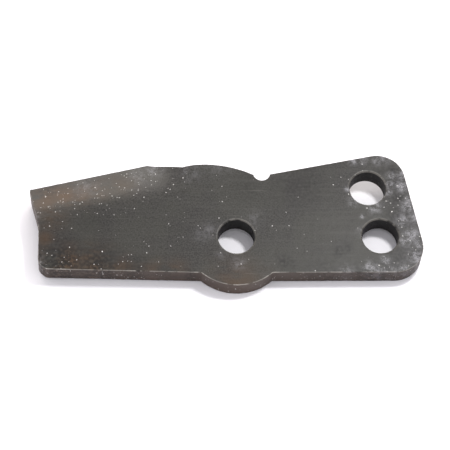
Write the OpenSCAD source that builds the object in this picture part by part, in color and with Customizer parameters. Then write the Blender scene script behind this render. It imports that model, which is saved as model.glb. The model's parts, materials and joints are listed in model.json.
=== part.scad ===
// Bolt-on digging tooth: one flat steel plate with a pivot hole, two setting
// holes, a round boss on each side of the pivot hole and a blade whose back
// edge is pressed down into a flap.
//
// The origin is on the pivot hole's axis, in the underside of the flat plate.
// +X runs along the front edge to the setting holes, +Y to the back edge and
// +Z out of the upper face.  The shank's end, its back edge and the bend line
// follow a second direction, turned by shank_turn about the pivot hole.  Along
// and across name places in that turned direction.

/* [Plate] */
// Thickness of the plate
plate_t = 10; // [8:0.5:12]

/* [Bolt holes] */
// Diameter of the three bolt holes
hole_d = 16.5; // [12:0.5:18]
// Width of the bevel round the upper mouth of each hole
hole_rim = 0.5; // [0.2:0.1:1]
// Distance from the pivot hole to each setting hole
setting_radius = 65; // [62:0.5:66]
// Angle between the two setting holes, seen from the pivot hole
setting_angle = 21.8; // [20:0.2:24]

/* [Shank] */
// Distance from the pivot hole to the shank's front edge
shank_front = 17.9; // [16:0.1:20]
// Distance from the pivot hole to the shank's back edge
shank_back = 27.6; // [26:0.1:30]
// Angle from the front edge to the back edge
shank_turn = 11.2; // [9:0.1:13]
// Distance from the pivot hole to the end of the shank
shank_end = 82; // [80:0.1:86]
// Radius of the corner between the end and the front edge
front_corner_r = 13; // [8:0.5:16]
// Radius of the corner between the end and the back edge
back_corner_r = 12.5; // [8:0.5:16]

/* [Bosses and notch] */
// Radius of the front boss, which is centred on the pivot hole
front_boss_r = 24; // [21:0.1:26]
// Radius of the wide, shallow back boss
back_boss_r = 50.7; // [49:0.1:52]
// Distance of the back boss's centre from the pivot hole, towards the blade
back_boss_along = 16.7; // [15:0.1:18]
// Distance of the back boss's centre from the pivot hole, towards the front
back_boss_front = 11.3; // [10.6:0.1:12.6]
// Radius of the notch where the back boss meets the shank
notch_r = 3.8; // [2:0.1:5]
// Distance of the notch from the pivot hole, along the back edge
notch_along = 18.1; // [16:0.1:20]
// Distance of the notch's centre outside the back edge
notch_out = 1.4; // [0.5:0.1:2.5]

/* [Blade] */
// Distance from the pivot hole to the blade's front edge
blade_front = 18.3; // [16:0.1:20]
// Angle at which the front edge runs in towards the tip
blade_taper = 1.6; // [0:0.1:3]
// Distance from the pivot hole to the tip
blade_end = 89; // [85:0.5:95]
// Distance behind the pivot hole at which the tip's edge turns outwards
tip_bend = 5.2; // [2:0.5:6]
// Angle by which the tip's edge turns outwards there
tip_turn = 13.2; // [9:0.5:15]
// Radius of the corner between the tip and the front edge
tip_corner_r = 5.4; // [3:0.2:8]

/* [Bent flap] */
// Distance from the pivot hole to the line where the bend starts
bend_line = 23.6; // [23:0.1:25]
// Radius of the bend, on the upper face
bend_r = 26; // [20:1:30]
// Angle that the flap is bent down
bend_angle = 22; // [5:1:30]
// Distance from the pivot hole out to the flap's edge, at the tip
flap_tip = 44.1; // [42:0.1:45]
// Distance from the pivot hole out to the flap's edge, at the peak
flap_peak = 46.4; // [45:0.1:48]
// Radius of the corner between the flap's edge and the tip
flap_corner_r = 1.5; // [1:0.5:4]
// Distance from the pivot hole back to the peak, where the bend starts to fade
fade_start = 32; // [28:0.5:36]
// Distance from the pivot hole back to the place where the plate is flat again
fade_end = 9.5; // [8:0.5:15]

/* [Hidden] */
$fn = 96;
// how far a cutting tool reaches past the face that it cuts
past = 1;
// how far the blank sheet reaches beyond the plate on every side
margin = 30;
// straight stretches that make up a rounded corner
arc_steps = 12;
// facets across the bend, from the bend to the sheet's edge, and along the fade
bend_steps = 8;
flat_steps = 6;
fade_steps = 16;
// length of the bend on the upper face, across the plate
bend_len = bend_r * bend_angle * PI / 180;
// where the sheet leaves the bend, on the upper face, across and down
bend_exit = [bend_r * sin(bend_angle), bend_r * (cos(bend_angle) - 1)];

function unit(angle) = [cos(angle), sin(angle)];

// A place given along and across the turned direction
function turned(along, across) = along * unit(shank_turn) + across * unit(shank_turn + 90);

// Where the line through p at angle a meets the line through q at angle b
function meet(p, a, q, b) =
    p + unit(a) * cross(q - p, unit(b)) / cross(unit(a), unit(b));

// --- outline --------------------------------------------------------------

// Unit vectors from corner i of a list of points to the corners beside it
function to_last(pts, i) = let (d = pts[(i + len(pts) - 1) % len(pts)] - pts[i]) d / norm(d);
function to_next(pts, i) = let (d = pts[(i + 1) % len(pts)] - pts[i]) d / norm(d);

// Points of the arc that rounds corner i, from the side of the last corner
function rounding(pts, i, r) =
    let (
        a = to_last(pts, i),
        b = to_next(pts, i),
        angle = acos(a * b),
        centre = pts[i] + (a + b) * r / sin(angle),
        start = pts[i] + a * r / tan(angle / 2) - centre,
        start_angle = atan2(start.y, start.x),
        sweep = (180 - angle) * sign(cross(b, a))
    )
    [for (k = [0 : arc_steps]) centre + r * unit(start_angle + sweep * k / arc_steps)];

// An outline with rounded corners; a radius of 0 leaves a corner sharp
function rounded(pts, radii) = [
    for (i = [0 : len(pts) - 1])
        each radii[i] == 0 ? [pts[i]] : rounding(pts, i, radii[i])
];

module shank_profile() {
    end = turned(shank_end, 0);
    front = [0, -shank_front];
    back = turned(0, shank_back);
    polygon(rounded(
        [
            [0, 0],
            front,
            meet(front, 0, end, shank_turn + 90),
            turned(shank_end, shank_back),
            turned(notch_along, shank_back)
        ],
        [0, 0, front_corner_r, back_corner_r, 0]
    ));
}

module blade_profile() {
    front = [0, -blade_front];
    kink = [-blade_end, tip_bend];
    peak = turned(-fade_start, flap_peak);
    edge_turn = shank_turn + atan((flap_peak - flap_tip) / (blade_end - fade_start));
    polygon(rounded(
        [
            [0, 0],
            turned(-back_boss_along, back_boss_r - back_boss_front),
            peak,
            meet(kink, tip_turn + 90, peak, edge_turn),
            kink,
            meet(kink, 90, front, -blade_taper),
            front
        ],
        [0, 0, 0, flap_corner_r, 0, tip_corner_r, 0]
    ));
}

// The part of the wide back circle between its crown and the notch
module back_boss_profile() {
    intersection() {
        translate(turned(-back_boss_along, -back_boss_front)) circle(r = back_boss_r);
        polygon([
            turned(-back_boss_along, 0),
            turned(notch_along, 0),
            turned(notch_along, back_boss_r),
            turned(-back_boss_along, back_boss_r)
        ]);
    }
}

module plate_profile() {
    difference() {
        union() {
            shank_profile();
            blade_profile();
            back_boss_profile();
            circle(r = front_boss_r);
        }
        translate(turned(notch_along, shank_back + notch_out)) circle(r = notch_r);
    }
}

// --- bent sheet -----------------------------------------------------------

// Share of the full bend at a station along the plate, from 1 down to 0
function bend_share(along) =
    along <= -fade_start ? 1 :
    along >= -fade_end ? 0 :
    (1 + cos(180 * (along + fade_start) / (fade_start - fade_end))) / 2;

// Slope of the sheet at a distance past the bend line, for a bend of turn in all
function slope_at(past_line, turn) = turn * min(past_line, bend_len) / bend_len;

// Upper face of the sheet at a distance past the bend line, as [across, rise]
function upper_face(past_line, turn) =
    let (
        slope = slope_at(past_line, turn),
        r = turn > 0 ? bend_len / (turn * PI / 180) : 0,
        arc = turn > 0 ? [r * sin(slope), r * (cos(slope) - 1)] : [min(past_line, bend_len), 0]
    )
    arc + max(0, past_line - bend_len) * unit(-turn);

function lower_face(past_line, turn) =
    upper_face(past_line, turn) - plate_t * unit(90 - slope_at(past_line, turn));

// One closed section across the sheet, over the top and back underneath
function section(along) =
    let (
        turn = bend_angle * bend_share(along),
        steps = concat(
            [for (i = [0 : bend_steps]) bend_len * i / bend_steps],
            [for (i = [1 : flat_steps]) bend_len + margin * i / flat_steps]
        ),
        flat_end = -bend_line - front_boss_r - margin,
        upper = [for (s = steps) upper_face(s, turn)],
        lower = [for (i = [len(steps) - 1 : -1 : 0]) lower_face(steps[i], turn)]
    )
    [
        for (p = concat([[flat_end, 0]], upper, lower, [[flat_end, -plate_t]]))
            let (plan = turned(along, bend_line + p.x))
            [plan.x, plan.y, plate_t + p.y]
    ];

// A sheet larger than the plate, bent down along the bend line
module bent_sheet() {
    stations = concat(
        [-blade_end - margin],
        [for (i = [0 : fade_steps]) (fade_start - fade_end) * i / fade_steps - fade_start],
        [shank_end + margin]
    );
    sections = [for (s = stations) section(s)];
    n = len(sections[0]);
    last = len(sections) - 1;
    polyhedron(
        points = [for (s = sections) each s],
        faces = concat(
            [[for (i = [n - 1 : -1 : 0]) i]],
            [
                for (s = [0 : last - 1], i = [0 : n - 1])
                    let (a = s * n + i, b = s * n + (i + 1) % n)
                    each [[a, b, b + n], [a, b + n, a + n]]
            ],
            [[for (i = [0 : n - 1]) last * n + i]]
        )
    );
}

// --- tooth ----------------------------------------------------------------

// Width of the flap's straight part, for an edge at a distance from the pivot
function flap_width(across) = (across - bend_line - bend_exit.x) / cos(bend_angle);

// What lies beyond the flap's edge, which stands square to the bent flap
module beyond_flap() {
    edge_turn = atan((flap_width(flap_peak) - flap_width(flap_tip)) / (blade_end - fade_start));
    length = blade_end + margin;
    rotate([0, 0, shank_turn])
        translate([0, bend_line + bend_exit.x, plate_t + bend_exit.y])
        rotate([-bend_angle, 0, 0])
        translate([-fade_start, flap_width(flap_peak), 0])
        rotate([0, 0, edge_turn])
        translate([-length, 0, -2 * plate_t])
        cube([2 * length, margin, 3 * plate_t]);
}

module bolt_hole() {
    translate([0, 0, -past]) cylinder(h = plate_t + 2 * past, d = hole_d);
    translate([0, 0, plate_t - hole_rim])
        cylinder(h = 2 * hole_rim, r1 = hole_d / 2, r2 = hole_d / 2 + 2 * hole_rim);
}

module tooth_plate() {
    color("dimgray")
    difference() {
        intersection() {
            translate([0, 0, -plate_t]) linear_extrude(height = 2 * plate_t + past) plate_profile();
            bent_sheet();
        }
        beyond_flap();
        bolt_hole();
        for (angle = [0, setting_angle])
            rotate([0, 0, angle]) translate([setting_radius, 0, 0]) bolt_hole();
    }
}

tooth_plate();
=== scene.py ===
# %% [markdown]
# # A bolt-on digging tooth
# This lesson dresses one steel tooth: a thick plate with three bolt holes and a blade whose
# back edge is pressed down.  Its size and the places of its holes come from the frame, which
# is loaded first and never moved.  Lengths are in metres; one millimetre is written MM.

# %% Load the frame
import json
import math

import bpy
import numpy as np
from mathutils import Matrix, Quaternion, Vector, kdtree

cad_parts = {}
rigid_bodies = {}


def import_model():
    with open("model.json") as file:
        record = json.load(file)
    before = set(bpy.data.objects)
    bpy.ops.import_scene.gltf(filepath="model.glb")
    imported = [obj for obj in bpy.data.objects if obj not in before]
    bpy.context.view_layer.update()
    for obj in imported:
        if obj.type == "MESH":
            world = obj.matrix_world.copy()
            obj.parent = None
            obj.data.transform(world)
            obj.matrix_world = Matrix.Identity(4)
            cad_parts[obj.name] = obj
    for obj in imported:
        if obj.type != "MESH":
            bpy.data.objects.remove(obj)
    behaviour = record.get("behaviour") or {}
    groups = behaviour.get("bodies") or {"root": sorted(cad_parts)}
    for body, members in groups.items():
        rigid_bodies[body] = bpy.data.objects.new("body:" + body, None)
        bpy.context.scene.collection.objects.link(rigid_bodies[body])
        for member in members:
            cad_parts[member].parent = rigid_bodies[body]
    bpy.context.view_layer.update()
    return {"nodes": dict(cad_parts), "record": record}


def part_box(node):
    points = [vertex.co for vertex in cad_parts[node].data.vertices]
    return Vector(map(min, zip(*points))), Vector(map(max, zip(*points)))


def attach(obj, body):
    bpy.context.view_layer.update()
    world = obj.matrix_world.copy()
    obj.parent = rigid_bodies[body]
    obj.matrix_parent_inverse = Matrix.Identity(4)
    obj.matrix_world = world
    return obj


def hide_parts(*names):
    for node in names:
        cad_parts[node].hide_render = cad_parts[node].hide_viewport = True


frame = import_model()
MM = 0.001

# %% [markdown]
# ## Measures taken from the frame
# The record names the three bores and the two flat faces.  The frame's origin is in the
# pivot bore, so every place on the tooth is written as a distance from that bore.

# %% Read the bores and faces
mounts = {mount["name"]: mount for mount in frame["record"]["mounts"]}
pivot = Vector(mounts["pivot_bore"]["pos_m"])
front_setting = Vector(mounts["front_setting_bore"]["pos_m"])
back_setting = Vector(mounts["back_setting_bore"]["pos_m"])
bore_radius = mounts["pivot_bore"]["dims"]["r_mm"] * MM
plate_top = mounts["bolt_head_face"]["pos_m"][2]
low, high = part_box("tooth_plate")
SHANK_TURN = math.radians(11.2)
print("bore radius", round(bore_radius / MM, 2), "plate thickness", round(plate_top / MM, 2))

# %% [markdown]
# ## The camera
# A long lens looks down on the plate from the front, a little from the left.  It is turned
# slightly about its own axis, because the plate doesn't lie quite level.

# %% Place the camera
CAMERA_LENS = 171.2
CAMERA_AZIMUTH = math.radians(-5.26)
CAMERA_ELEVATION = math.radians(64.70)
CAMERA_ROLL = math.radians(4.66)
CAMERA_DISTANCE = 965.3 * MM
CAMERA_AIM = Vector((-5.08, 5.58, 10.0)) * MM

back_axis = Vector((
    math.sin(CAMERA_AZIMUTH) * math.cos(CAMERA_ELEVATION),
    -math.cos(CAMERA_AZIMUTH) * math.cos(CAMERA_ELEVATION),
    math.sin(CAMERA_ELEVATION),
))
bpy.ops.object.camera_add(location=CAMERA_AIM + back_axis * CAMERA_DISTANCE)
camera = bpy.context.object
camera.name = "camera"
camera.rotation_mode = "QUATERNION"
look_at_aim = (-back_axis).to_track_quat("-Z", "Y")
camera.rotation_quaternion = look_at_aim @ Quaternion((0, 0, 1), CAMERA_ROLL)
camera.data.lens = CAMERA_LENS
camera.data.clip_start = 0.01
camera.data.clip_end = 20
bpy.context.scene.camera = camera
print("camera stands at", [round(c, 3) for c in camera.location])

# %% [markdown]
# ## The plate
# A plate like this is cut from rolled stock, punched and pressed, so its rims are a little
# rolled over and nothing on it is perfectly flat.  A copy of the frame's plate has the right
# shape but knife-sharp rims.  Its doubled points are welded, its flat parts are joined into
# single faces, and a narrow bevel rolls every rim.  Then it is sliced every three quarters
# of a millimetre each way, so that the skin has enough points to carry dents and nicks.

# %% Helpers for the mesh
def only(obj):
    """Selects one object and makes it the active one."""
    bpy.ops.object.select_all(action="DESELECT")
    obj.select_set(True)
    bpy.context.view_layer.objects.active = obj


def apply_modifier(obj, kind, name, **settings):
    """Adds a modifier, sets it up and applies it."""
    modifier = obj.modifiers.new(name, kind)
    for key, value in settings.items():
        setattr(modifier, key, value)
    only(obj)
    bpy.ops.object.modifier_apply(modifier=modifier.name)


# %% Copy the frame's plate and weld it
WELD = 0.005 * MM
FLAT_ENOUGH = math.radians(0.05)

only(frame["nodes"]["tooth_plate"])
bpy.ops.object.duplicate()
tooth = bpy.context.object
tooth.name = "digging_tooth"
bpy.ops.object.parent_clear(type="CLEAR_KEEP_TRANSFORM")
bpy.ops.object.mode_set(mode="EDIT")
bpy.ops.mesh.select_all(action="SELECT")
bpy.ops.mesh.remove_doubles(threshold=WELD)
bpy.ops.mesh.dissolve_limited(angle_limit=FLAT_ENOUGH)
bpy.ops.object.mode_set(mode="OBJECT")
print("welded copy:", len(tooth.data.vertices), "points,", len(tooth.data.polygons), "faces")

# %% Note where the rims run
RIM_STEP = 0.3 * MM
SHARP = math.radians(35)
FACES_THAT_WAY = 0.6


def rim_points(mesh, facing):
    """Points along the sharp edges between a face that looks up (1) or down (-1) and a wall."""
    beside = {}
    for face in mesh.polygons:
        for key in face.edge_keys:
            beside.setdefault(key, []).append(face.normal)
    points = []
    for (a, b), normals in beside.items():
        if normals[0].angle(normals[1]) < SHARP:
            continue
        if max(normal.z * facing for normal in normals) < FACES_THAT_WAY:
            continue
        start = mesh.vertices[a].co
        end = mesh.vertices[b].co
        count = max(1, int((end - start).length / RIM_STEP))
        points += [start.lerp(end, (k + 0.5) / count) for k in range(count)]
    return points


upper_rim = rim_points(tooth.data, 1)
lower_rim = rim_points(tooth.data, -1)
print("rim points:", len(upper_rim), "above and", len(lower_rim), "below")

# %% Roll the rims over
RIM_WIDTH = 0.32 * MM
RIM_SEGMENTS = 3

apply_modifier(
    tooth, "BEVEL", "rolled rims", width=RIM_WIDTH, segments=RIM_SEGMENTS,
    limit_method="ANGLE", angle_limit=SHARP, use_clamp_overlap=False,
)
print("rolled rims:", len(tooth.data.vertices), "points")

# %% Slice the skin into a fine grid
GRID = 0.75 * MM
FIRST_CUT = 0.61 * GRID


def slice_across(axis, start, end):
    """Cuts every face of the open mesh at each grid plane across one axis."""
    normal = [0, 0, 0]
    normal[axis] = 1
    place = start
    while place < end:
        point = [0, 0, 0]
        point[axis] = place
        bpy.ops.mesh.select_all(action="SELECT")
        bpy.ops.mesh.bisect(plane_co=point, plane_no=normal)
        place += GRID


only(tooth)
bpy.ops.object.mode_set(mode="EDIT")
for axis in range(3):
    slice_across(axis, low[axis] + FIRST_CUT, high[axis])
bpy.ops.object.mode_set(mode="OBJECT")
print("sliced skin:", len(tooth.data.vertices), "points")

# %% Measure how far each point is from the rims
def distances(mesh, points):
    """Each mesh point's distance in millimetres from the nearest of the given points."""
    tree = kdtree.KDTree(len(points))
    for index, point in enumerate(points):
        tree.insert(point, index)
    tree.balance()
    return np.array([tree.find(vertex.co)[2] for vertex in mesh.vertices]) / MM


def coordinates(mesh):
    """The mesh's points in millimetres, one row each."""
    flat = np.empty(len(mesh.vertices) * 3)
    mesh.vertices.foreach_get("co", flat)
    return flat.reshape(-1, 3) / MM


skin = coordinates(tooth.data)
from_upper = distances(tooth.data, upper_rim)
from_lower = distances(tooth.data, lower_rim)
print("rims measured on", len(skin), "points")

# %% [markdown]
# ## Wear that has a shape
# Pressing leaves the faces slightly wavy, scale flakes off in shallow pits, and stones
# nick the rims, most of all along the blade's tip.  All of it goes inwards.  The bevel runs
# a little past the sharpest corner, so at the end every point is brought back inside the
# frame's box.

# %% Weights for the dents
WEIGHT_STEPS = 20
NICK_REACH = 0.8
PIT_CLEARANCE = 1.2
BORE_MARGIN = 1.5
NICKS_EVERYWHERE = 0.12
MORE_NICKS_AT_TIP = 0.38


def weigh(obj, name, values):
    """Writes one weight a point into a vertex group, in even steps."""
    group = obj.vertex_groups.new(name=name)
    steps = np.clip(np.round(values * WEIGHT_STEPS), 0, WEIGHT_STEPS).astype(int)
    for step in range(1, WEIGHT_STEPS + 1):
        chosen = np.nonzero(steps == step)[0].tolist()
        if chosen:
            group.add(chosen, step / WEIGHT_STEPS, "REPLACE")
    return group.name


def rise(values, start, length):
    """Goes from 0 at the start to 1 one length further on; a negative length looks back."""
    return np.clip((values - start) / length, 0, 1)


from_rim = np.minimum(from_upper, from_lower)
at_tip = rise(skin[:, 0], start=-80.0, length=-6.0) * rise(skin[:, 1], start=10.0, length=-4.0)
bores = np.array([bore.to_2d() for bore in (pivot, front_setting, back_setting)]) / MM
from_bores = np.min([np.hypot(*(skin[:, :2] - bore).T) for bore in bores], axis=0)
off_bores = rise(from_bores, start=bore_radius / MM + BORE_MARGIN, length=2.0)
nicked = np.exp(-from_rim / NICK_REACH) * off_bores
nick_weights = weigh(tooth, "rims", nicked * (NICKS_EVERYWHERE + MORE_NICKS_AT_TIP * at_tip))
face_weights = weigh(tooth, "faces", 1 - np.exp(-from_rim / PIT_CLEARANCE))
print("points that can be nicked:", int((nicked > 1 / WEIGHT_STEPS).sum()))

# %% Press in waves, pits and nicks
def clouds(name, size, depth=2, contrast=1.0, brightness=1.0):
    """A cloudy pattern with lumps of about that size in metres."""
    texture = bpy.data.textures.new(name, "CLOUDS")
    texture.noise_scale = size
    texture.noise_depth = depth
    texture.contrast = contrast
    texture.intensity = brightness
    return texture


def press_in(pattern, depth, group=""):
    """Sinks the skin along its normals by up to the depth where the pattern is white."""
    apply_modifier(
        tooth, "DISPLACE", pattern.name,
        texture=pattern, texture_coords="LOCAL", strength=-depth, mid_level=0, vertex_group=group,
    )


press_in(clouds("waves", 26 * MM), 0.10 * MM)
scale_pits = clouds("scale pits", 2.0 * MM, contrast=3.5, brightness=0.35)
press_in(scale_pits, 0.025 * MM, face_weights)
rim_nicks = clouds("rim nicks", 2.2 * MM, depth=1, contrast=4.0, brightness=0.25)
press_in(rim_nicks, 0.40 * MM, nick_weights)
tooth.vertex_groups.clear()
print("dents pressed in")

# %% Keep every point inside the frame's box
HAIR = 0.001

skin = coordinates(tooth.data)
inside = np.clip(skin, np.array(low) / MM, np.array(high) / MM)
print("points brought back inside:", int((abs(skin - inside).max(axis=1) > HAIR).sum()))
tooth.data.vertices.foreach_set("co", (inside * MM).ravel())
tooth.data.update()

# %% Shade the skin and tie the piece to the frame
only(tooth)
bpy.ops.object.shade_smooth()
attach(tooth, "root")
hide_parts("tooth_plate")
print(tooth.name, "stands for tooth_plate and has", len(tooth.data.polygons), "faces")

# %% [markdown]
# ## Where the tooth is dusty, brown or speckled, and where light and shade are painted
# The finish isn't even.  Pale dust sits round the setting bores and the outer end, brown
# oxide has crept in from the blade's tip and along its front rim, and dark grime fills in
# between.  Some patches also paint light and shade into the colour.  Grime patches paint shade
# on the back of the shank, along the front wall, round the outer end and in the corner where
# the front boss starts.  The oxide along the middle of the flap also paints the flap's sheen.
# One dust patch paints light from the left on the blade's end wall.  The chipped bright front
# rim and blade's end rim also carry a painted highlight, and so do the back arcs of the bores.
# Light specks of flaked scale are thickest on the flap.  Each patch is a place and a radius in
# millimetres, measured from the pivot bore, and its strength.

# %% List the patches
# Pale dust round the setting bores and the outer end. The patch at (-93.5, 10.0) lightens the blade's end
# wall as painted light from the left.
DUST_AND_LIGHT = (
    (51.1, 23.7, 1.1, 1.0), (65.3, 37.9, 2.0, 0.6), (54.4, 38.0, 1.8, 0.8), (58.5, 38.8, 2.2, 0.5),
    (69.0, 39.5, 2.6, 0.6), (76.9, 31.0, 2.6, 0.8), (76.0, 24.9, 2.6, 0.9), (71.3, 30.2, 2.0, 0.6),
    (70.4, 26.0, 1.7, 0.9), (69.6, 22.0, 1.6, 0.9), (63.0, 14.4, 2.8, 0.8), (53.2, 17.0, 2.2, 0.5),
    (78.9, 18.5, 1.7, 0.7), (78.0, 14.6, 2.6, 0.9), (79.4, 0.5, 3.2, 0.9), (76.5, -1.8, 2.8, 0.8),
    (82.0, -4.0, 2.2, 0.8), (75.5, 8.0, 3.0, 0.6), (66.8, -12.1, 2.2, 0.6), (59.3, -15.5, 2.4, 0.9),
    (75.7, -16.6, 3.0, 0.7), (63.5, -17.8, 3.5, 0.6), (70.0, -18.5, 3.0, 0.5), (49.0, -17.5, 3.0, 0.4),
    (57.2, 9.7, 0.9, 1.0), (80.3, -10.0, 3.0, 0.7), (56.5, 2.0, 2.0, 0.4), (81.0, 9.0, 2.4, 0.7),
    (82.5, -13.5, 3.2, 1.0), (79.0, -17.5, 3.0, 0.8), (-11.7, 2.7, 3.6, 0.22), (-15.4, 0.7, 3.4, 0.2),
    (-7.0, -9.0, 2.2, 0.2), (0.9, -13.4, 2.8, 0.3), (8.0, 9.0, 4.0, 0.15), (-20.5, 33.0, 5.0, 0.2),
    (-8.0, 37.0, 6.0, 0.2), (-37.0, 36.0, 4.0, 0.35), (-44.0, 33.0, 5.0, 0.25), (-68.0, 26.5, 5.0, 0.22),
    (-93.5, 10.0, 3.5, 0.8), (-91.0, -12.0, 3.2, 0.8),
)
# Brown oxide at the blade's tip and along the front rim. The row of patches along the middle of the flap
# also paints the flap's light sheen.
OXIDE_AND_SHEEN = (
    (-86.0, 20.0, 8.0, 0.9), (-78.0, 22.5, 7.0, 1.0), (-70.0, 22.0, 6.5, 0.8), (-62.0, 25.0, 6.0, 0.6),
    (-52.0, 29.0, 7.0, 0.4), (-84.0, 10.0, 7.0, 0.5), (-86.0, -1.0, 4.0, 0.7), (-86.0, -12.5, 7.0, 0.8),
    (-76.0, -13.0, 8.0, 0.9), (-64.0, -12.5, 8.0, 0.8), (-52.0, -16.0, 6.0, 0.6), (-38.0, -17.0, 6.0, 0.5),
    (-27.0, -17.0, 5.0, 0.6), (0.0, -26.0, 12.0, 0.7), (-80.0, -21.0, 7.0, 0.9),
)
# Dark grime, and painted shade: the wide patches on the back of the shank, along the front wall and round
# the outer end darken where less light falls. The patch at (-21.0, -20.5) paints shade into the corner where
# the front boss starts.
GRIME_AND_SHADE = (
    (46.0, -7.5, 3.0, 0.8), (50.0, -6.0, 2.5, 0.7), (21.5, -12.5, 3.0, 0.8), (25.0, -14.0, 2.0, 0.6),
    (-21.0, -20.5, 3.5, 0.9), (40.0, -24.0, 11.0, 0.6), (62.0, -24.0, 12.0, 0.9), (80.0, -22.0, 9.0, 0.9),
    (77.0, 20.0, 4.0, 0.5), (72.0, 16.0, 3.0, 0.6), (66.0, 33.0, 4.0, 0.5), (-75.0, -9.0, 5.0, 0.4),
    (79.0, -3.0, 5.0, 0.6), (-89.5, -5.0, 1.6, 0.7), (-89.5, -1.0, 1.2, 0.7), (74.0, 9.0, 8.0, 0.8),
    (74.0, -10.0, 8.0, 0.75), (81.0, -8.0, 5.0, 0.7), (81.0, 12.0, 5.0, 0.6), (74.0, 27.0, 5.0, 0.7),
    (-78.0, -12.0, 11.0, 0.8), (-62.0, -14.0, 10.0, 0.75), (-46.0, -17.0, 7.0, 0.5), (-86.0, 26.0, 5.0, 0.7),
    (-33.0, -21.0, 6.0, 0.5), (60.0, 28.0, 7.0, 0.4), (30.0, 27.0, 13.0, 0.5), (-87.5, -15.0, 2.6, 1.0),
    (-89.0, -9.0, 2.2, 0.9), (-81.0, -15.5, 3.0, 0.9), (-66.0, 8.0, 9.0, 0.25), (6.0, 24.0, 6.0, 0.35),
    (66.0, 5.0, 9.0, 0.4), (84.0, 2.0, 4.0, 0.8), (80.0, -14.0, 5.0, 0.8), (72.5, 33.0, 3.0, 0.9),
    (79.5, 24.0, 2.6, 0.9), (74.0, 19.0, 4.0, 0.9), (77.0, 4.5, 2.6, 1.0), (71.0, -14.5, 3.0, 0.8),
)
# Bright chips along the front rim and the blade's end rim. These patches also paint the highlight that those
# rims catch.
CHIPS_AND_HIGHLIGHTS = (
    (-86.0, -16.5, 5.0, 1.5), (-78.0, -17.5, 5.0, 1.2), (-45.0, -18.0, 7.0, 1.1), (-91.0, -12.0, 3.0, 1.2),
    (-91.5, -1.0, 3.5, 0.9), (-90.0, 5.0, 3.0, 0.7), (0.0, -22.0, 10.0, 1.1), (15.0, -19.0, 6.0, 1.2),
    (-16.0, -20.0, 5.0, 1.3), (45.0, -19.0, 12.0, 1.0), (70.0, -19.0, 7.0, 0.8), (-93.0, 25.0, 3.0, 0.8),
)
SPECKLED = (
    (-85.0, 17.0, 9.0, 1.0), (-75.0, 20.0, 9.0, 1.0), (-60.0, 22.0, 9.0, 0.7), (-48.0, 28.0, 10.0, 0.7),
    (-36.0, 30.0, 9.0, 0.7), (-78.0, -14.0, 9.0, 0.6), (76.0, 14.0, 9.0, 0.8), (78.0, -4.0, 9.0, 0.7),
    (66.0, -14.0, 8.0, 0.7), (-45.0, 12.0, 14.0, 0.3), (-50.0, -8.0, 12.0, 0.3), (60.0, 30.0, 8.0, 0.3),
)

print("patches:", sum(len(table) for table in (DUST_AND_LIGHT, OXIDE_AND_SHEEN, GRIME_AND_SHADE, CHIPS_AND_HIGHLIGHTS, SPECKLED)))

# %% Turn the patches into values on the mesh
BACK_RIM_WEAR = 0.30
MORE_WEAR_AND_HIGHLIGHT_AT_FRONT = 0.30
BORE_RIM_HIGHLIGHT = 0.55


def patchwork(points, patches):
    """The strongest soft round patch at each point, as a value from 0 to 1."""
    strongest = np.zeros(len(points))
    for x, y, radius, strength in patches:
        away = np.hypot(points[:, 0] - x, points[:, 1] - y)
        strongest = np.maximum(strongest, strength * np.exp(-((away / radius) ** 2)))
    return np.clip(strongest, 0, 1)


def store(mesh, name, values):
    """Keeps one number a point on the mesh, for the materials to read."""
    layer = mesh.attributes.new(name, "FLOAT", "POINT")
    layer.data.foreach_set("value", values.astype(np.float32))


skin = coordinates(tooth.data)
facing = np.array([vertex.normal[:] for vertex in tooth.data.vertices])
looks_up = np.clip(facing[:, 2] * 3 + 0.6, 0, 1)
looks_forward = np.clip(-facing[:, 1] * 1.5 + 0.2, 0.15, 1)
at_front = rise(skin[:, 1], start=-4.0, length=-5.0)
# Wear plus painted highlight: rims at the front get more of the pale worn colour than the rest.
rim_wear_and_highlight = (BACK_RIM_WEAR + MORE_WEAR_AND_HIGHLIGHT_AT_FRONT * at_front) * off_bores
# Painted highlight: the bore rims get the pale worn colour only where they face forward, which is the back
# arc of each bore.
rim_wear_and_highlight += BORE_RIM_HIGHLIGHT * (1 - off_bores) * looks_forward
rim_wear_and_highlight = np.maximum(rim_wear_and_highlight, patchwork(skin, CHIPS_AND_HIGHLIGHTS))
store(tooth.data, "from_upper_rim", from_upper)
store(tooth.data, "from_lower_rim", from_lower)
store(tooth.data, "rim_wear_and_highlight", rim_wear_and_highlight)
store(tooth.data, "dust_and_light", patchwork(skin, DUST_AND_LIGHT) * looks_up)
store(tooth.data, "oxide_and_sheen", patchwork(skin, OXIDE_AND_SHEEN))
store(tooth.data, "grime_and_shade", patchwork(skin, GRIME_AND_SHADE))
store(tooth.data, "speckled", patchwork(skin, SPECKLED))
print("stored:", [layer.name for layer in tooth.data.attributes if layer.data_type == "FLOAT"])

# %% [markdown]
# ## Node groups
# The three materials share the same marks, so the marks are kept in four node groups: one
# for the grain, tone, streaks and scratches of rolled steel, one for light specks, one for
# the films of dust, oxide and grime, which also hold painted light, sheen and shade, and one
# for the worn rim, which also holds a painted highlight.  They all measure places in
# metres on the object itself.

# %% Helpers for nodes
def feed(tree, socket, value):
    """Links a value into a socket if it comes from another node, or else sets it."""
    if isinstance(value, bpy.types.NodeSocket):
        tree.links.new(value, socket)
    else:
        socket.default_value = value


def add_node(tree, kind, settings=None, inputs=None):
    """Adds one node, sets its properties and feeds its inputs."""
    node = tree.nodes.new(kind)
    for key, value in (settings or {}).items():
        setattr(node, key, value)
    for key, value in (inputs or {}).items():
        feed(tree, node.inputs[key], value)
    return node


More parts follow.
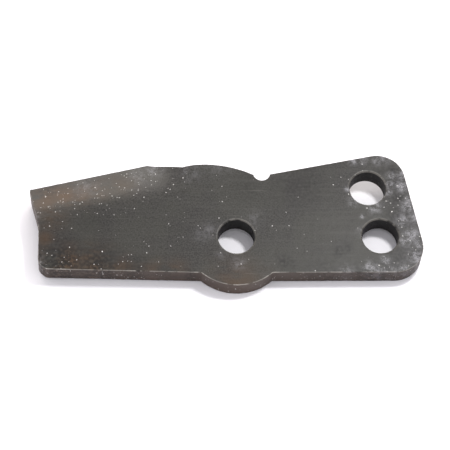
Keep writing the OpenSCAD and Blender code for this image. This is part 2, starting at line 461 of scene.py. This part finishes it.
def new_group(name, inputs, outputs):
    """A node group with named float inputs and their defaults, and named float outputs."""
    tree = bpy.data.node_groups.new(name, "ShaderNodeTree")
    for label, value in inputs.items():
        socket = tree.interface.new_socket(label, in_out="INPUT", socket_type="NodeSocketFloat")
        socket.default_value = value
    for label in outputs:
        tree.interface.new_socket(label, in_out="OUTPUT", socket_type="NodeSocketFloat")
    return tree, tree.nodes.new("NodeGroupInput"), tree.nodes.new("NodeGroupOutput")


def place(tree, stretch=(1, 1, 1), turn=0.0):
    """Object coordinates, stretched and turned about the upright axis."""
    where = add_node(tree, "ShaderNodeTexCoord")
    mapping = add_node(tree, "ShaderNodeMapping", {}, {
        "Vector": where.outputs["Object"], "Scale": stretch, "Rotation": (0, 0, turn),
    })
    return mapping.outputs["Vector"]


def noise(tree, vector, scale, detail=3.0, roughness=0.55):
    """A noise pattern's value."""
    node = add_node(tree, "ShaderNodeTexNoise", {}, {
        "Vector": vector, "Scale": scale, "Detail": detail, "Roughness": roughness,
    })
    return node.outputs["Fac"]


def ramp(tree, value, start, end, low_end=0.0, high_end=1.0):
    """Maps a value from one range to another, softly and clamped."""
    node = add_node(tree, "ShaderNodeMapRange", {"interpolation_type": "SMOOTHSTEP"}, {
        "Value": value, "From Min": start, "From Max": end, "To Min": low_end, "To Max": high_end,
    })
    return node.outputs["Result"]


def calculate(tree, operation, first, second=0.0, third=0.0):
    """A math node's value."""
    node = add_node(tree, "ShaderNodeMath", {"operation": operation})
    for socket, value in zip(node.inputs, (first, second, third)):
        feed(tree, socket, value)
    return node.outputs["Value"]


def read(tree, name):
    """The value that the mesh keeps under that name."""
    return add_node(tree, "ShaderNodeAttribute", {"attribute_name": name}).outputs["Fac"]


# %% Grain, tone and scratches
SCRATCH_TURN = math.radians(24)

grain_tree, _, grain_out = new_group("fine grain", {}, ["Grain", "Tone", "Streaks", "Scratches"])
fine = noise(grain_tree, place(grain_tree), scale=1400, detail=3, roughness=0.8)
grain_tree.links.new(fine, grain_out.inputs["Grain"])
slow = noise(grain_tree, place(grain_tree), scale=55, detail=3, roughness=0.5)
grain_tree.links.new(ramp(grain_tree, slow, 0.36, 0.64), grain_out.inputs["Tone"])
rolling_way = place(grain_tree, stretch=(0.05, 1, 1), turn=SHANK_TURN)
rolled = noise(grain_tree, rolling_way, scale=700, detail=2, roughness=0.6)
grain_tree.links.new(rolled, grain_out.inputs["Streaks"])
scratch_way = place(grain_tree, stretch=(0.04, 1, 0.05), turn=SCRATCH_TURN)
hair = noise(grain_tree, scratch_way, scale=1500, detail=1, roughness=0.5)
gate = ramp(grain_tree, noise(grain_tree, place(grain_tree), scale=70, detail=1), 0.52, 0.62)
lines = calculate(grain_tree, "MULTIPLY", ramp(grain_tree, hair, 0.70, 0.76), gate)
grain_tree.links.new(lines, grain_out.inputs["Scratches"])
print("fine grain:", len(grain_tree.nodes), "nodes")

# %% Specks of flaked scale
CRUMPLE = 0.8 * MM
SPOT_EDGE = 0.05
SMALL_SPECK_STRENGTH = 0.55

speck_tree, speck_in, speck_out = new_group("specks", {"Density": 0.1}, ["Mask"])


def speck_layer(scale, largest, share):
    """Small round spots: cells of one size, of which only a share hold a spot."""
    crumpled = add_node(speck_tree, "ShaderNodeTexNoise", {}, {
        "Vector": place(speck_tree), "Scale": 1800.0,
    })
    shift = add_node(speck_tree, "ShaderNodeVectorMath", {"operation": "SCALE"}, {
        "Vector": crumpled.outputs["Color"], "Scale": CRUMPLE,
    })
    moved = add_node(speck_tree, "ShaderNodeVectorMath", {"operation": "ADD"})
    speck_tree.links.new(place(speck_tree), moved.inputs[0])
    speck_tree.links.new(shift.outputs["Vector"], moved.inputs[1])
    cells = add_node(speck_tree, "ShaderNodeTexVoronoi", {}, {
        "Vector": moved.outputs["Vector"], "Scale": scale,
    })
    parts = add_node(speck_tree, "ShaderNodeSeparateColor", {}, {"Color": cells.outputs["Color"]})
    radius = calculate(speck_tree, "MULTIPLY", parts.outputs["Red"], largest)
    edge = calculate(speck_tree, "SUBTRACT", radius, cells.outputs["Distance"])
    spot = ramp(speck_tree, edge, 0.0, SPOT_EDGE)
    wanted = calculate(speck_tree, "MULTIPLY", speck_in.outputs["Density"], share)
    chosen = calculate(speck_tree, "LESS_THAN", parts.outputs["Green"], wanted)
    return calculate(speck_tree, "MULTIPLY", spot, chosen)


coarse_specks = speck_layer(scale=420, largest=0.17, share=0.6)
small_specks = speck_layer(scale=900, largest=0.30, share=0.9)
small_specks = calculate(speck_tree, "MULTIPLY", small_specks, SMALL_SPECK_STRENGTH)
both = calculate(speck_tree, "MAXIMUM", coarse_specks, small_specks)
speck_tree.links.new(both, speck_out.inputs["Mask"])
print("specks:", len(speck_tree.nodes), "nodes")

# %% Dust, oxide, grime and the worn rim, with their painted light, sheen, shade and highlight
film_tree, _, film_out = new_group("films", {}, ["Dust and light", "Oxide and sheen", "Grime and shade"])
dust_and_light_pattern = noise(film_tree, place(film_tree), scale=380, detail=6, roughness=0.92)
dust_and_light_pattern = ramp(film_tree, dust_and_light_pattern, 0.42, 0.60)
oxide_and_sheen_pattern = noise(film_tree, place(film_tree, stretch=(0.4, 1, 1)), scale=160, detail=4, roughness=0.6)
oxide_and_sheen_pattern = ramp(film_tree, oxide_and_sheen_pattern, 0.3, 0.6)
grime_and_shade_pattern = noise(film_tree, place(film_tree), scale=700, detail=3, roughness=0.7)
grime_and_shade_pattern = ramp(film_tree, grime_and_shade_pattern, 0.38, 0.58)
for label, name, pattern in (
    ("Dust and light", "dust_and_light", dust_and_light_pattern), ("Oxide and sheen", "oxide_and_sheen", oxide_and_sheen_pattern), ("Grime and shade", "grime_and_shade", grime_and_shade_pattern),
):
    film = calculate(film_tree, "MULTIPLY", read(film_tree, name), pattern)
    film_tree.links.new(film, film_out.inputs[label])

# The worn rim band also carries a painted highlight on the front rim, the blade's end rim and the back arcs
# of the bores.
rim_tree, rim_in, rim_out = new_group("worn and highlit rim", {"Width": 0.4}, ["Upper", "Lower"])
for label, name in (("Upper", "from_upper_rim"), ("Lower", "from_lower_rim")):
    away = calculate(rim_tree, "DIVIDE", read(rim_tree, name), rim_in.outputs["Width"])
    worn_and_highlit = ramp(rim_tree, away, 1.0, 0.35)
    patchy = ramp(rim_tree, noise(rim_tree, place(rim_tree), scale=330, detail=3), 0.30, 0.52)
    patchy = calculate(rim_tree, "MULTIPLY", patchy, read(rim_tree, "rim_wear_and_highlight"))
    rim_tree.links.new(calculate(rim_tree, "MULTIPLY", worn_and_highlit, patchy), rim_out.inputs[label])
print("node groups:", [group.name for group in bpy.data.node_groups])

# %% [markdown]
# ## Three finishes
# The rolled faces wear dark mill scale, the sheared edges have gone brown, and the punched
# bores are nearly black.  Each starts from its own base colour and lays the shared marks
# over it, one above the other.

# %% The layers of a finish
# Pale colour for the dust and for the painted light on the blade's end wall.
DUST_AND_LIGHT_COLOUR = (0.25, 0.245, 0.26, 1)
# Near-black colour for the grime and for the painted shade.
GRIME_AND_SHADE_COLOUR = (0.006, 0.005, 0.005, 1)
SPECK_COLOUR = (0.62, 0.60, 0.58, 1)
# Pale worn steel for scratches and rims; on the rims it also paints a highlight.
WORN_AND_HIGHLIGHT_COLOUR = (0.33, 0.31, 0.28, 1)
GRAIN_RANGE = (0.3, 0.7)
STREAK_RANGE = (0.45, 0.75)
SMOOTHER = 0.05
ROUGHER = 0.07
DUST_ROUGHNESS = 0.95
WORN_METALLIC = 0.5
BUMP_DEPTH = 0.03 * MM
BUMP_STRENGTH = 0.6


def use(tree, group_name, inputs=None):
    """Places a node group in a material."""
    return add_node(tree, "ShaderNodeGroup", {"node_tree": bpy.data.node_groups[group_name]}, inputs)


def lay(tree, under, over, amount):
    """Lays one colour over another by an amount from 0 to 1."""
    colours = {0: amount, 6: under, 7: over}
    return add_node(tree, "ShaderNodeMix", {"data_type": "RGBA"}, colours).outputs[2]


def finish_steel(name, look):
    """One steel finish built from the shared marks and a table of amounts."""
    material = bpy.data.materials.new(name)
    material.use_nodes = True
    tree = material.node_tree
    shader = tree.nodes["Principled BSDF"]
    marks = use(tree, "fine grain")
    films = use(tree, "films")
    rims = use(tree, "worn and highlit rim", {"Width": look["rim_width"]})
    density = calculate(
        tree, "MULTIPLY_ADD", read(tree, "speckled"), look["speck_more"], look["speck_base"],
    )
    spots = use(tree, "specks", {"Density": density})

    colour = lay(tree, look["dark"], look["light"], marks.outputs["Tone"])
    shade = ramp(tree, marks.outputs["Grain"], *GRAIN_RANGE, high_end=look["grain"])
    colour = lay(tree, colour, look["grain_colour"], shade)
    streak = ramp(tree, marks.outputs["Streaks"], *STREAK_RANGE, high_end=look["streaks"])
    colour = lay(tree, colour, look["grain_colour"], streak)
    # Light brown oxide colour, which on the flap is also a painted sheen.
    oxide_and_sheen = calculate(tree, "MULTIPLY", films.outputs["Oxide and sheen"], look["oxide_and_sheen"])
    colour = lay(tree, colour, look["oxide_and_sheen_colour"], oxide_and_sheen)
    # Grime and painted shade, laid in one near-black colour.
    grime_and_shade = calculate(tree, "MULTIPLY", films.outputs["Grime and shade"], look["grime_and_shade"])
    colour = lay(tree, colour, GRIME_AND_SHADE_COLOUR, grime_and_shade)
    # Pale dust, which on the blade's end wall is also painted light.
    dust_and_light = calculate(tree, "MULTIPLY", films.outputs["Dust and light"], look["dust_and_light"])
    colour = lay(tree, colour, DUST_AND_LIGHT_COLOUR, dust_and_light)
    scratched = calculate(tree, "MULTIPLY", marks.outputs["Scratches"], look["scratches"])
    colour = lay(tree, colour, WORN_AND_HIGHLIGHT_COLOUR, scratched)
    upper = calculate(tree, "MULTIPLY", rims.outputs["Upper"], look["upper_rim"])
    lower = calculate(tree, "MULTIPLY", rims.outputs["Lower"], look["lower_rim"])
    # Rim band: wear plus painted highlight.
    worn_and_highlit = calculate(tree, "MAXIMUM", upper, lower)
    colour = lay(tree, colour, WORN_AND_HIGHLIGHT_COLOUR, worn_and_highlit)
    speck = calculate(tree, "MULTIPLY", spots.outputs["Mask"], look["specks"])
    colour = lay(tree, colour, SPECK_COLOUR, speck)
    tree.links.new(colour, shader.inputs["Base Color"])

    smoothest = look["rough"] - SMOOTHER
    roughest = look["rough"] + ROUGHER
    rough = ramp(tree, marks.outputs["Grain"], *GRAIN_RANGE, smoothest, roughest)
    rough = calculate(tree, "MAXIMUM", rough, calculate(tree, "MULTIPLY", dust_and_light, DUST_ROUGHNESS))
    tree.links.new(rough, shader.inputs["Roughness"])
    tree.links.new(calculate(tree, "MULTIPLY", worn_and_highlit, WORN_METALLIC), shader.inputs["Metallic"])
    shader.inputs["Specular IOR Level"].default_value = look["specular"]

    height = calculate(tree, "MULTIPLY_ADD", marks.outputs["Grain"], look["bump"], speck)
    bump = add_node(tree, "ShaderNodeBump", {}, {
        "Height": height, "Distance": BUMP_DEPTH, "Strength": BUMP_STRENGTH,
    })
    tree.links.new(bump.outputs["Normal"], shader.inputs["Normal"])
    return material


# %% Mill scale on the rolled faces
MILL_SCALE = {
    "dark": (0.0135, 0.0125, 0.0122, 1),
    "light": (0.0215, 0.0212, 0.0175, 1),
    "grain": 0.85,
    "grain_colour": (0.046, 0.044, 0.0405, 1),
    "streaks": 0.4,
    "scratches": 0.06,
    "oxide_and_sheen": 0.85,
    "oxide_and_sheen_colour": (0.058, 0.033, 0.017, 1),
    "grime_and_shade": 1.0,
    "dust_and_light": 0.95,
    "rim_width": 0.48,
    "upper_rim": 0.7,
    "lower_rim": 0.3,
    "specks": 0.8,
    "speck_base": 0.05,
    "speck_more": 0.95,
    "rough": 0.40,
    "bump": 0.9,
    "specular": 0.16,
}
mill_scale = finish_steel("mill scale", MILL_SCALE)
print("mill scale:", len(mill_scale.node_tree.nodes), "nodes")

# %% Brown sheared edges
SHEARED_EDGE = dict(
    MILL_SCALE,
    dark=(0.033, 0.022, 0.018, 1),
    light=(0.050, 0.037, 0.031, 1),
    grain=0.5,
    grain_colour=(0.070, 0.055, 0.046, 1),
    streaks=0.1,
    scratches=0.05,
    oxide_and_sheen=0.6,
    oxide_and_sheen_colour=(0.082, 0.055, 0.042, 1),
    dust_and_light=0.6,
    upper_rim=1.0,
    speck_base=0.3,
    rough=0.5,
    bump=1.5,
)
sheared_edge = finish_steel("sheared edge", SHEARED_EDGE)
print("sheared edge:", len(sheared_edge.node_tree.nodes), "nodes")

# %% Dark punched bores
PUNCHED_BORE = dict(
    MILL_SCALE,
    dark=(0.007, 0.0065, 0.0065, 1),
    light=(0.014, 0.0135, 0.013, 1),
    grain=0.5,
    grain_colour=(0.022, 0.020, 0.020, 1),
    streaks=0.0,
    scratches=0.0,
    oxide_and_sheen=0.2,
    dust_and_light=0.1,
    upper_rim=0.8,
    specks=0.16,
    speck_base=0.5,
    rough=0.55,
    bump=1.5,
    specular=0.1,
)
punched_bore = finish_steel("punched bore", PUNCHED_BORE)
print("punched bore:", len(punched_bore.node_tree.nodes), "nodes")

# %% Give each part of the skin its finish
STEEP = 0.5
BORE_REACH = bore_radius + 0.6 * MM

tooth.data.materials.clear()
for material in (mill_scale, sheared_edge, punched_bore):
    tooth.data.materials.append(material)
counts = [0, 0, 0]
for face in tooth.data.polygons:
    slot = 0
    if abs(face.normal.z) < STEEP:
        slot = 1
        for bore in (pivot, front_setting, back_setting):
            if math.hypot(face.center.x - bore.x, face.center.y - bore.y) < BORE_REACH:
                slot = 2
    face.material_index = slot
    counts[slot] += 1
print("faces with scale, brown edge and bore:", counts)

# %% [markdown]
# ## Floor and light
# The tooth rests on three points: the lowest point of the flap, the front boss and the
# front of the shank.  The floor is laid against those three, so the plate tips a little.
# Soft light comes from all round, with a small lamp above, a warm glow behind and a weak
# fill at the left.

# %% Find the plane that the tooth rests on
FLAT_BAND = 0.3
LEAST_TRIANGLE = 100
EVERY_THIRD = 3


def resting_plane(points):
    """A point on the plane that the tooth rests on, and that plane's normal."""
    lowest = points[points[:, 2].argmin()]
    underside = points[abs(points[:, 2]) < FLAT_BAND]
    front = underside[underside[:, 1].argmin()]
    best_depth = None
    for third in underside[::EVERY_THIRD]:
        normal = np.cross(third - front, lowest - front)
        length = np.linalg.norm(normal)
        if length < LEAST_TRIANGLE:
            continue
        normal = normal / length * math.copysign(1, normal[2])
        depth = ((points - front) @ normal).min()
        if best_depth is None or depth > best_depth:
            best_depth = depth
            best_normal = normal
    return Vector(front + best_normal * best_depth) * MM, Vector(best_normal)


floor_point, floor_normal = resting_plane(skin)
print("floor normal", [round(c, 4) for c in floor_normal])

# %% Lay a white table in that plane
FLOOR_SIZE = 6
TABLE_COLOUR = (0.81, 0.80, 0.825, 1)

bpy.ops.mesh.primitive_plane_add(size=FLOOR_SIZE, location=floor_point)
floor = bpy.context.object
floor.name = "floor"
floor.rotation_mode = "QUATERNION"
floor.rotation_quaternion = Vector((0, 0, 1)).rotation_difference(floor_normal)
white_table = bpy.data.materials.new("white table")
white_table.use_nodes = True
table_tree = white_table.node_tree
table_shader = table_tree.nodes["Principled BSDF"]
table_shader.inputs["Base Color"].default_value = TABLE_COLOUR
table_shader.inputs["Roughness"].default_value = 0.9
table_shader.inputs["Specular IOR Level"].default_value = 0.1
side = add_node(table_tree, "ShaderNodeNewGeometry")
clear = add_node(table_tree, "ShaderNodeBsdfTransparent")
either = add_node(table_tree, "ShaderNodeMixShader", {}, {"Fac": side.outputs["Backfacing"]})
table_tree.links.new(table_shader.outputs["BSDF"], either.inputs[1])
table_tree.links.new(clear.outputs["BSDF"], either.inputs[2])
table_tree.links.new(either.outputs["Shader"], table_tree.nodes["Material Output"].inputs["Surface"])
floor.data.materials.append(white_table)
print("table:", FLOOR_SIZE, "m wide, clear when seen from below")

# %% Hang the lights
WORLD_COLOUR = (0.98, 0.97, 1.0, 1)
WORLD_STRENGTH = 1.15
WARM = (1.0, 0.93, 0.85)

scene = bpy.context.scene
scene.view_settings.view_transform = "Standard"
world = bpy.data.worlds.new("studio")
scene.world = world
world.use_nodes = True
background = world.node_tree.nodes["Background"]
background.inputs["Color"].default_value = WORLD_COLOUR
background.inputs["Strength"].default_value = WORLD_STRENGTH


def softbox(name, stand, width, height, power):
    """A rectangular light of that size that looks at the tooth."""
    bpy.ops.object.light_add(type="AREA", location=stand)
    lamp = bpy.context.object
    lamp.name = name
    lamp.data.shape = "RECTANGLE"
    lamp.data.size = width
    lamp.data.size_y = height
    lamp.data.energy = power
    lamp.rotation_mode = "QUATERNION"
    lamp.rotation_quaternion = (-Vector(stand)).to_track_quat("-Z", "Y")
    return lamp


softbox("key_lamp", (0.127, 0.095, 0.355), width=0.05, height=0.05, power=1.0)
back_wall_glow = softbox("back_wall_glow", (0.0, 1.2, 0.42), width=1.8, height=0.5, power=17.5)
back_wall_glow.data.color = WARM
softbox("left_fill", (-1.0, -0.25, 0.22), width=0.6, height=0.3, power=3.0)
